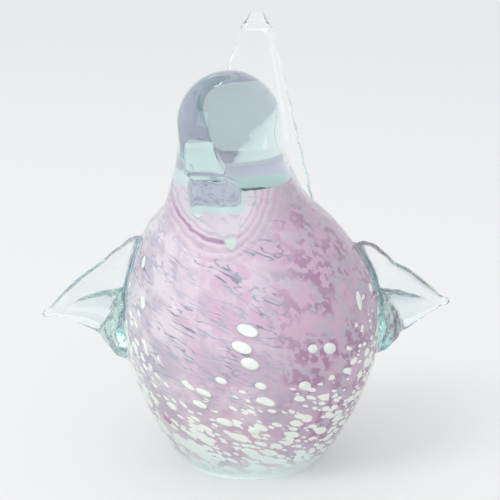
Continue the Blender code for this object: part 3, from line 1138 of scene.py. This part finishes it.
@dataclass(frozen=True)
class Frit:
    """White chips of three sizes, which thicken downwards, and the mint foot."""

    sizes: tuple[Span, ...] = ((6.0, 0.60), (3.8, 0.80), (2.4, 0.80))
    radius: float = 0.27
    edge: Span = (0.05, -0.03)
    flatness: float = 1.6
    level: Span = (36.0, 6.0)
    side: Span = (20.0, 32.0)
    side_drop: float = 22.0 * MM
    mint_level: Span = (20.0, 4.0)
    foot: Span = (9.0, 1.0)

    def chips(self, nodes: Nodes, place: Socket, size: float, likely: Socket) -> Socket:
        """Where chips of one size lie.

        Args:
            nodes: The coat's nodes.
            place: The smeared place.
            size: The room that each chip has.
            likely: How likely a chip is.

        Returns:
            1 on a chip and 0 beside it.
        """
        cells = nodes.add("ShaderNodeTexVoronoi", Vector=place, Scale=1.0 / size)
        chance, spread, _ = nodes.add("ShaderNodeSeparateColor", Color=cells.outputs["Color"]).outputs
        radius = nodes.maths("ADD", nodes.times(spread, self.radius), self.radius)
        beyond = nodes.minus(cells.outputs["Distance"], radius)
        return nodes.times(nodes.ramp(beyond, *self.edge), nodes.maths("LESS_THAN", chance, likely))

    def paint(self, coat: Coat) -> None:
        """Lays the chips and the foot on.

        Args:
            coat: The coat.
        """
        nodes = coat.nodes
        side = coat.along(nodes.maths("ABSOLUTE", coat.x), self.side)
        likely = coat.along(nodes.minus(coat.z, nodes.times(side, self.side_drop)), self.level)
        white = nodes.mix(coat.along(coat.z, self.mint_level), TINT.cream, TINT.mint)
        smeared = coat.smeared(coat.rolled, self.flatness)
        for size, share in self.sizes:
            coat.lay(white, self.chips(nodes, smeared, size * MM, nodes.times(likely, share)))
        coat.lay(TINT.mint, coat.along(coat.z, self.foot))


@dataclass(frozen=True)
class Top:
    """The coat's flat top, which the clear head magnifies: lavender, sea green and a dark rim."""

    facing: Span = (0.75, 0.95)
    rise: Span = (74.0, 77.0)
    grain: Clouds = Clouds(700.0, 2.0, 0.42, 0.60)
    whirl_middle: Span = (-6.0, 26.0)
    whirl_turns: float = 2300.0
    whirl: Span = (0.55, 0.95)
    whirl_share: float = 0.5
    veil: Span = (12.0, 17.0)
    veil_share: float = 0.9
    sea_front: Span = (0.0, -4.0)
    sea_side: Span = (-9.0, -3.0)
    sea_share: float = 0.85
    mint_side: Span = (-5.0, -10.0)
    mint_front: Span = (8.0, 2.0)
    mint_share: float = 0.75
    rim: Span = (-12.8, -13.8)
    rim_broken: Clouds = Clouds(420.0, 1.0, 0.42, 0.52)

    def paint(self, coat: Coat) -> None:
        """Lays the top's own colours on.

        Args:
            coat: The coat.
        """
        nodes, x, y, under = coat.nodes, coat.x, coat.y, coat.colour
        coat.colour = nodes.mix(nodes.clouds(coat.place, self.grain), TINT.crown, TINT.lilac)
        across, along = [nodes.minus(axis, at * MM) for axis, at in zip((x, y), self.whirl_middle)]
        turns = nodes.maths("SINE", nodes.times(nodes.away(across, along), self.whirl_turns))
        coat.lay(TINT.veil, nodes.ramp(turns, *self.whirl, self.whirl_share))
        coat.lay(TINT.veil, coat.along(y, self.veil, self.veil_share))
        coat.lay(TINT.sea, coat.along(y, self.sea_front), coat.along(x, self.sea_side), self.sea_share)
        coat.lay(TINT.mint, coat.along(x, self.mint_side), coat.along(y, self.mint_front), self.mint_share)
        coat.lay(TINT.rim, coat.along(y, self.rim), nodes.clouds(coat.place, self.rim_broken))
        facing = nodes.axes(nodes.add("ShaderNodeNewGeometry").outputs["Normal"])[2]
        top = nodes.times(nodes.ramp(facing, *self.facing), coat.along(coat.z, self.rise))
        coat.colour = nodes.mix(top, under, coat.colour)


@dataclass(frozen=True)
class FritGlass:
    """The coat of lavender and pink powder, with frit that thickens to white at the foot."""

    name: str = "lavender_frit_glass"
    roughness: float = 0.6

    def material(self) -> bpy.types.Material:
        """Paints the coat, layer by layer.

        Returns:
            The material.
        """
        coat = Coat(self.name)
        for layer in (Powder(), Threads(), BeakCausticAndShadow(), Pool(), Frit(), Top()):
            layer.paint(coat)
        look = {"Base_Color": coat.colour, "Roughness": self.roughness, "Specular_IOR_Level": 0.0}
        coat.nodes.fit(coat.nodes.shader, **look)
        return coat.nodes.material


# Pieces


def dress(piece: Solid, material: bpy.types.Material, replaced: Iterable[str]) -> None:
    """Finishes a piece: its glass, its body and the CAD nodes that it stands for.

    Args:
        piece: The finished object.
        material: Its glass.
        replaced: The names of the CAD nodes that it stands for.
    """
    piece.data.materials.clear()
    piece.data.materials.append(material)
    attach(piece, BODY)
    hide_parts(*replaced)
    LOG.info("%s: %d faces, stands for %s", piece.name, len(piece.data.polygons), ", ".join(replaced))


@dataclass
class ClearGlassWork:
    """All the clear glass, flowed together, and then parted into its pieces."""

    voxel: float = 0.7 * MM
    smoothing: int = 8
    polished_width: tuple[float, float] = (26.0 * MM, 31.0 * MM)
    polished_from: float = 3.0 * MM
    polishing: int = 20
    ripple: float = 0.5 * MM
    ripple_size: float = 2.4 * MM
    ripple_reach: tuple[float, float] = (31.0 * MM, 41.0 * MM)
    ripple_drop: float = 20.0 * MM
    ripple_rise: float = 12.0 * MM
    ripple_fade: float = 10.0 * MM
    bit_room: float = 1.5 * MM
    bit_depth: float = 1.0 * MM
    head_joint: float = 82.5 * MM
    head_room_radius: float = 30.0 * MM
    head_room_height: float = 60.0 * MM
    head_room_middle: tuple[float, float] = (0.0, 4.0 * MM)
    crease_angle: float = math.radians(40)
    wing_density: float = 18.0
    beak: BeakShape = field(default_factory=BeakShape)
    right_wing: WingShape = field(default_factory=lambda: WingShape(Side.RIGHT, 23.6 * MM, 41.0 * MM))
    left_wing: WingShape = field(
        default_factory=lambda: WingShape(Side.LEFT, 20.2 * MM, 45.0 * MM, shoulder=0.83)
    )
    tail: TailShape = field(default_factory=TailShape)
    fused: bpy.types.Material | None = None

    def flowed(self) -> Solid:
        """The body, the head and the wings flowed into one skin, with the beak and tail laid on.

        Returns:
            The skin.
        """
        parts = [
            draw_out("skin", EGG.rings(), EGG.sides),
            draw_out("head_form", HEAD.rings(), HEAD.sides),
        ]
        for wing in (self.right_wing, self.left_wing):
            parts.append(draw_out("web_form", wing.web_slices(), wing.sides))
            parts.append(draw_out("lobe_form", wing.lobe_slices(), wing.sides))
        skin = take(*parts)
        bpy.ops.object.join()
        skin.data.remesh_voxel_size = self.voxel
        skin.data.remesh_voxel_adaptivity = 0.0
        bpy.ops.object.voxel_remesh()
        apply_modifier(skin, "SMOOTH", iterations=self.smoothing)
        places = np.empty(3 * len(skin.data.vertices))
        skin.data.vertices.foreach_get("co", places)
        self.polished(skin, places)
        self.rippled(skin, places)
        for bit in (self.beak, self.tail):
            form = draw_out("bit_form", bit.slices(), bit.sides)
            combine(skin, "UNION", form)
            discard(form)
        edit(skin, self.stand)
        return skin

    def polished(self, skin: Solid, places: np.ndarray) -> None:
        """Draws the skin onto its exact form, away from the wings and the ground edge.

        Args:
            skin: The skin.
            places: Its points' coordinates in one row.
        """
        forms = [draw_out("polished_form", shape.rings(), shape.sides) for shape in (FINE_EGG, FINE_HEAD)]
        form = take(*forms)
        bpy.ops.object.join()
        start, end = self.polished_width
        shares = np.clip((end - np.abs(places[0::3])) / (end - start), 0.0, 1.0)
        shares[places[2::3] < self.polished_from] = 0.0
        group = skin.vertex_groups.new(name="polished")
        for index in np.flatnonzero(shares):
            group.add([int(index)], float(shares[index]), "REPLACE")
        apply_modifier(skin, "SHRINKWRAP", target=form, vertex_group=group.name)
        apply_modifier(skin, "SMOOTH", iterations=self.polishing, vertex_group=group.name)
        discard(form)

    def rippled(self, skin: Solid, places: np.ndarray) -> None:
        """Gives the pinched glass at the wings' roots the ripples that sparkle.

        Args:
            skin: The skin.
            places: Its points' coordinates in one row.
        """
        start, end = self.ripple_reach
        out, heights = np.abs(places[0::3]), places[2::3]
        low = self.right_wing.height - self.ripple_drop
        high = self.right_wing.height + self.ripple_rise
        beside = (out > start) & (out < end) & (heights > low) & (heights < high)
        roots = skin.vertex_groups.new(name="roots")
        for index in np.flatnonzero(beside):
            share = (out[index] - start) / (end - start)
            fade = min((high - heights[index]) / self.ripple_fade, 1.0)
            roots.add([int(index)], float(fade * math.sin(math.pi * share)), "REPLACE")
        clouds = bpy.data.textures.new("ripples", "CLOUDS")
        clouds.noise_scale = self.ripple_size
        strength = 2.0 * self.ripple
        apply_modifier(skin, "DISPLACE", texture=clouds, strength=strength, vertex_group=roots.name)
        bpy.data.textures.remove(clouds)

    @staticmethod
    def stand() -> None:
        """Grinds the underside flat."""
        bpy.ops.mesh.bisect(plane_co=(0, 0, 0), plane_no=(0, 0, 1), use_fill=True, clear_inner=True)

    def room(self, name: str, slices: Sequence[Slice], sides: int, by: float) -> Solid:
        """The room that a bit takes, with what it is laid on left out.

        Args:
            name: The bit's name.
            slices: The bit's slices.
            sides: How many points each slice has.
            by: How much more room it gets, for the piece beside it.

        Returns:
            The room as a solid with fused faces.
        """
        room = draw_out(name + "_room", grown_slices(slices, self.bit_room + by), sides)
        hosts = [draw_out("body_host", EGG.rings(self.bit_depth + by, -self.bit_room), EGG.sides)]
        hosts.append(draw_out("head_host", HEAD.inner_rings(self.bit_depth + by), HEAD.sides))
        for host in hosts:
            combine(room, "DIFFERENCE", host)
        discard(*hosts)
        return room

    def part(self, skin: Solid, name: str, room: Solid, rest: Solid) -> Solid:
        """Takes a piece out of the skin.

        Args:
            skin: The skin, which loses the piece.
            name: The piece's name.
            room: The room that the piece keeps.
            rest: The same room, a little larger, which the skin loses.

        Returns:
            The piece.
        """
        piece = copy_of(skin, name)
        for obj, cutter, operation in ((piece, room, "INTERSECT"), (skin, rest, "DIFFERENCE")):
            cutter.data.materials.clear()
            cutter.data.materials.append(self.fused)
            combine(obj, operation, cutter, material_mode="TRANSFER")
        discard(room, rest)
        return piece

    def head_room(self, by: float) -> Solid:
        """The room of the head, over a level joint at its foot.

        Args:
            by: How much more room it gets.

        Returns:
            The room as a solid.
        """
        deselect()
        bpy.ops.mesh.primitive_cylinder_add(
            vertices=HEAD.sides,
            radius=self.head_room_radius + by,
            depth=self.head_room_height,
            location=(*self.head_room_middle, self.head_joint - by + self.head_room_height / 2),
        )
        bpy.ops.object.transform_apply(location=True)
        return bpy.context.object

    def build(self) -> None:
        """Makes each clear piece and dresses it."""
        glass = ClearGlass().material()
        deep = ClearGlass("clear_wing_glass", depth_density=self.wing_density).material()
        self.fused = bpy.data.materials.new("fused")
        skin = self.flowed()
        skin.name = "clear_casing_glass"
        skin.data.materials.clear()
        for material in (glass, self.fused):
            skin.data.materials.append(material)
        pieces = {}
        for name in ("beak", *WINGS, "tail"):
            bit = getattr(self, name)
            rooms = [self.room(name, bit.slices(), bit.sides, by) for by in (0.0, FUSED_GAP)]
            pieces[name] = self.part(skin, name + "_glass", *rooms)
        pieces["head"] = self.part(skin, "head_glass", *[self.head_room(by) for by in (0.0, FUSED_GAP)])
        cavity = LAYER.form("cavity", FUSED_GAP, -self.bit_room)
        cavity.data.materials.append(self.fused)
        combine(skin, "DIFFERENCE", cavity, material_mode="TRANSFER")
        discard(cavity)
        pieces["clear_casing"] = skin
        for name, piece in pieces.items():
            self.settle(piece)
            dress(piece, deep if name in WINGS else glass, [name])
        bpy.data.materials.remove(self.fused)

    def settle(self, piece: Solid) -> None:
        """Marks a piece's fused faces and smooths its polished ones.

        Args:
            piece: The piece.
        """
        mesh = piece.data
        names = [material.name if material else "" for material in mesh.materials]
        fused = names.index(self.fused.name)
        joint = mesh.attributes.new(JOINT_ATTRIBUTE, "FLOAT", "FACE")
        values = [float(face.material_index == fused) for face in mesh.polygons]
        joint.data.foreach_set("value", values)
        take(piece)
        bpy.ops.object.shade_smooth_by_angle(angle=self.crease_angle)


@dataclass
class ColourLayer:
    """The coat of coloured glass, flat over the top where the colour stops."""

    inset: float = 3.0 * MM
    wall: float = 2.0 * MM
    rim: float = 81.4 * MM
    crown: float = 0.25 * MM
    crown_steps: int = 8
    crown_to: float = math.radians(88)
    tilt: float = 0.06
    tilt_over: float = 14.0 * MM
    sides: int = 128
    crease_angle: float = math.radians(50)

    def rings(self, inset: float, bottom: float, rim: float) -> list[Level]:
        """Level rings up the outside and over the top.

        Args:
            inset: How far inside the clear glass they lie.
            bottom: The height of the first ring.
            rim: The height of the top's edge.

        Returns:
            The rings from the bottom up.
        """
        rings = EGG.rings(inset, bottom, rim)
        line = EGG.line(inset)
        radius = float(np.interp(rim, line[:, 1], line[:, 0]))
        reach = EGG.reach(rim)
        for angle in np.linspace(0.0, self.crown_to, self.crown_steps):
            height = rim + self.crown * math.sin(angle)
            rings.append(Level(height, radius * math.cos(angle), reach))
        return [
            replace(ring, tilt=self.tilt * ease((ring.height - rim + self.tilt_over) / self.tilt_over))
            for ring in rings
        ]

    def form(self, name: str, room: float, bottom: float) -> Solid:
        """The layer filled in, with room round it."""
        return draw_out(name, self.rings(self.inset - room, bottom, self.rim + room), self.sides)

    def build(self) -> None:
        """Makes the layer as a coat that is open underneath, and dresses it."""
        layer = self.form("colour_layer_glass", 0.0, 0.0)
        inside = self.inset + self.wall
        heart = draw_out("heart_form", self.rings(inside, -self.wall, self.rim - self.wall), self.sides)
        combine(layer, "DIFFERENCE", heart)
        discard(heart)
        take(layer)
        bpy.ops.object.shade_smooth_by_angle(angle=self.crease_angle)
        dress(layer, FritGlass().material(), ["colour_layer"])


LAYER = ColourLayer()


@dataclass
class ChipWork:
    """The single chips that lie between the colour and the clear glass, melted round."""

    spread: float = 0.12 * MM
    roundness: int = 2
    join_within: float = 0.001 * MM

    def melt(self, node: str, material: bpy.types.Material) -> None:
        """Rounds a CAD chip off into a melted one in its place.

        Args:
            node: The CAD chip's name.
            material: Its glass.
        """
        chip = copy_of(bpy.data.objects[node], node + "_glass")
        edit(chip, lambda: bpy.ops.mesh.remove_doubles(threshold=self.join_within))
        apply_modifier(chip, "SUBSURF", levels=self.roundness, render_levels=self.roundness)
        apply_modifier(chip, "DISPLACE", strength=self.spread, mid_level=0.0)
        take(chip)
        bpy.ops.object.shade_smooth()
        dress(chip, material, [node])

    def build(self) -> None:
        """Makes every chip and dresses it."""
        for start, glass in (("magenta_chip", MAGENTA_FRIT), ("white_chip", WHITE_FRIT)):
            material = glass.material()
            for node in sorted(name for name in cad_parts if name.startswith(start)):
                self.melt(node, material)


def dress_heart() -> None:
    """Gives the CAD heart its opal glass."""
    heart = bpy.data.objects["heart_gather"]
    for slot in heart.material_slots:
        slot.material = OPAL.material()
    LOG.info("%s: the CAD node itself, in %s", heart.name, OPAL.name)


def turned_to_bird(place: Vector) -> Euler:
    """How a camera or a lamp at a place is turned to face the bird."""
    return (CAMERA_AIM - place).to_track_quat("-Z", "Y").to_euler()


@dataclass(frozen=True)
class SoftLamp:
    """A soft lamp that faces the bird; its place is in metres and its power in watts."""

    name: str
    place: tuple[float, float, float]
    size: Span
    power: float
    glossy: bool = False

    def hang(self) -> None:
        """Hangs the lamp."""
        data = bpy.data.lights.new(self.name, "AREA")
        data.shape = "RECTANGLE"
        data.size, data.size_y = self.size
        data.energy = self.power
        lamp = bpy.data.objects.new(self.name, data)
        bpy.context.scene.collection.objects.link(lamp)
        lamp.location = self.place
        lamp.rotation_euler = turned_to_bird(Vector(self.place))
        lamp.visible_glossy = self.glossy


@dataclass
class Studio:
    """The pale floor, the soft light of the room, the window light and the camera."""

    floor_size: float = 6.0
    floor_drop: float = 0.2 * MM
    floor_colour: Colour = (0.75, 0.755, 0.76)
    floor_roughness: float = 0.7
    glow: Colour = (0.90, 0.90, 0.90)
    glow_share: float = 0.20
    sky: Colour = (0.98, 0.99, 1.0)
    sky_strength: float = 0.99
    bounces: int = 64
    lamps: tuple[SoftLamp, ...] = (
        SoftLamp("window", (-0.95, -0.50, 0.29), (0.50, 0.54), 1.2, glossy=True),
        SoftLamp("daylight", (-0.70, -0.55, 0.95), (0.45, 0.45), 4.6),
        SoftLamp("table_light", (0.40, -0.85, 0.12), (0.70, 0.20), 1.8),
    )

    def camera(self) -> None:
        """Sets the camera at the photograph's viewing angle."""
        data = bpy.data.cameras.new("camera")
        camera = bpy.data.objects.new("camera", data)
        bpy.context.scene.collection.objects.link(camera)
        camera.location = CAMERA_PLACE
        camera.rotation_euler = turned_to_bird(CAMERA_PLACE)
        data.lens = CAMERA_LENS
        data.sensor_width = CAMERA_SENSOR
        data.shift_x, data.shift_y = CAMERA_SHIFT
        bpy.context.scene.camera = camera

    def floor(self) -> None:
        """Lays the pale floor, which glows to what looks at it and keeps the bird's shadow."""
        deselect()
        bpy.ops.mesh.primitive_plane_add(size=self.floor_size, location=(0.0, 0.0, -self.floor_drop))
        floor = bpy.context.object
        floor.name = "floor"
        nodes = Nodes("pale_floor")
        nodes.fit(nodes.shader, Base_Color=self.floor_colour, Roughness=self.floor_roughness)
        glow = nodes.add("ShaderNodeEmission", Color=self.glow, Strength=1.0)
        path = nodes.add("ShaderNodeLightPath").outputs
        seen = nodes.maths("MAXIMUM", path["Is Camera Ray"], path["Is Glossy Ray"])
        seen = nodes.maths("MAXIMUM", seen, path["Is Transmission Ray"])
        lit = nodes.blend(nodes.times(seen, self.glow_share), nodes.shader, glow)
        nodes.fit(nodes.output, Surface=lit.outputs[0])
        floor.data.materials.append(nodes.material)

    def light(self) -> None:
        """Sets the room's soft light, the window, its daylight and what the table throws back."""
        world = bpy.data.worlds.new("studio")
        bpy.context.scene.world = world
        world.use_nodes = True
        sky = world.node_tree.nodes["Background"]
        sky.inputs["Color"].default_value = (*self.sky, 1.0)
        sky.inputs["Strength"].default_value = self.sky_strength
        for lamp in self.lamps:
            lamp.hang()

    def build(self) -> None:
        """Sets up the studio."""
        self.camera()
        self.floor()
        self.light()
        scene = bpy.context.scene
        scene.view_settings.view_transform = "Standard"
        for kind in ("max", "transmission", "glossy", "transparent_max"):
            setattr(scene.cycles, kind + "_bounces", self.bounces)


def main() -> None:
    """Builds the bird and its studio."""
    logging.basicConfig(level=logging.INFO, format="%(message)s")
    ClearGlassWork().build()
    LAYER.build()
    ChipWork().build()
    dress_heart()
    Studio().build()


if __name__ == "__main__":
    main()
